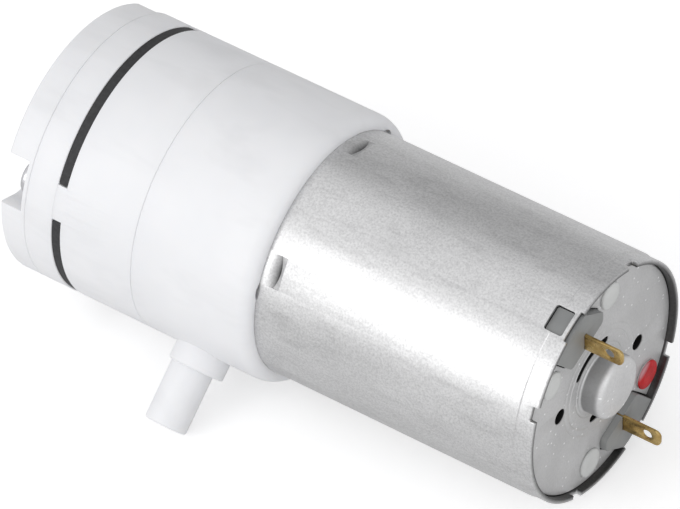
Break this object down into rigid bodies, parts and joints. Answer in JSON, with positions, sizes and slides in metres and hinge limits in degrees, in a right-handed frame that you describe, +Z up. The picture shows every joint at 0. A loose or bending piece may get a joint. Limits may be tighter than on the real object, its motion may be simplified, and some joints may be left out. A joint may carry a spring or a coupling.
{
  "type": "miniature diaphragm air pump",
  "caption": "Miniature diaphragm air pump: a white round pump head with a side hose nozzle, driven by a small brushed DC motor with solder terminals.",
  "frame": {"origin": "on the shaft's axis, halfway along the bare length of the motor can", "axes": "+X along the shaft, out of the motor's terminal end; +Z up as the pump lies on a bench, with the side nozzle drooping to the bench on the -Y side"},
  "size_m": [0.0672, 0.0322, 0.027],
  "materials": {
    "zinc_plated_steel": "satin zinc plate with a fine drawn grain",
    "end_plate_steel": "dull plated sheet",
    "sintered_bronze": "matte, oiled",
    "ferrite": "matte, dark grey",
    "spring_steel": "dull strip",
    "grey_plastic": "satin moulding, light grey",
    "red_paint": "thin glossy dab",
    "terminal_brass": "stamped, slightly dull",
    "copper_strip": "bright copper alloy",
    "carbon": "pressed carbon",
    "ground_steel": "ground bright",
    "core_steel": "stacked sheet",
    "enamelled_copper": "enamelled wire",
    "hub_plastic": "phenolic moulding",
    "washer_plastic": "natural nylon",
    "drive_plastic": "natural acetal",
    "white_plastic": "waxy satin moulding",
    "screw_steel": "bright plate",
    "black_rubber": "matte moulding",
    "valve_rubber": "soft matte moulding"
  },
  "bodies": {
    "pump_body": {"motor_can": "zinc_plated_steel", "front_bearing": "sintered_bronze", "rear_bearing": "sintered_bronze", "magnet_positive": "ferrite", "magnet_negative": "ferrite", "magnet_clips": "spring_steel", "end_plate": "end_plate_steel", "brush_holder": "grey_plastic", "polarity_mark": "red_paint", "terminal_positive": "terminal_brass", "terminal_negative": "terminal_brass", "brush_spring_positive": "copper_strip", "brush_spring_negative": "copper_strip", "carbon_brush_positive": "carbon", "carbon_brush_negative": "carbon", "crankcase": "white_plastic", "motor_screws": "screw_steel", "cylinder_block": "white_plastic", "diaphragm": "black_rubber", "valve_plate": "white_plastic", "inlet_valves": "valve_rubber", "outlet_valve": "valve_rubber", "outlet_seal": "black_rubber", "cap": "white_plastic", "cap_screws": "screw_steel"},
    "rotor": {"motor_shaft": "ground_steel", "armature_core": "core_steel", "armature_coils": "enamelled_copper", "commutator_hub": "hub_plastic", "commutator_segments": "copper_strip", "thrust_washers": "washer_plastic", "drive_wheel": "drive_plastic", "drive_pin": "ground_steel"},
    "rocking_frame": {"swing_frame": "drive_plastic"}
  },
  "joints": [
    {"name": "rotor_spin", "type": "hinge", "parent": "pump_body", "child": "rotor", "pos_m": [0, 0, 0], "axis": [1, 0, 0], "continuous": true},
    {"name": "frame_rock", "type": "hinge", "parent": "rotor", "child": "rocking_frame", "pos_m": [-0.03325, 0, 0], "axis": [0.9925, -0.1014, -0.0676], "continuous": true, "deforming": ["diaphragm"]}
  ],
  "couplings": [
    {"joint": "frame_rock", "follows": "rotor_spin", "ratio": -1}
  ]
}
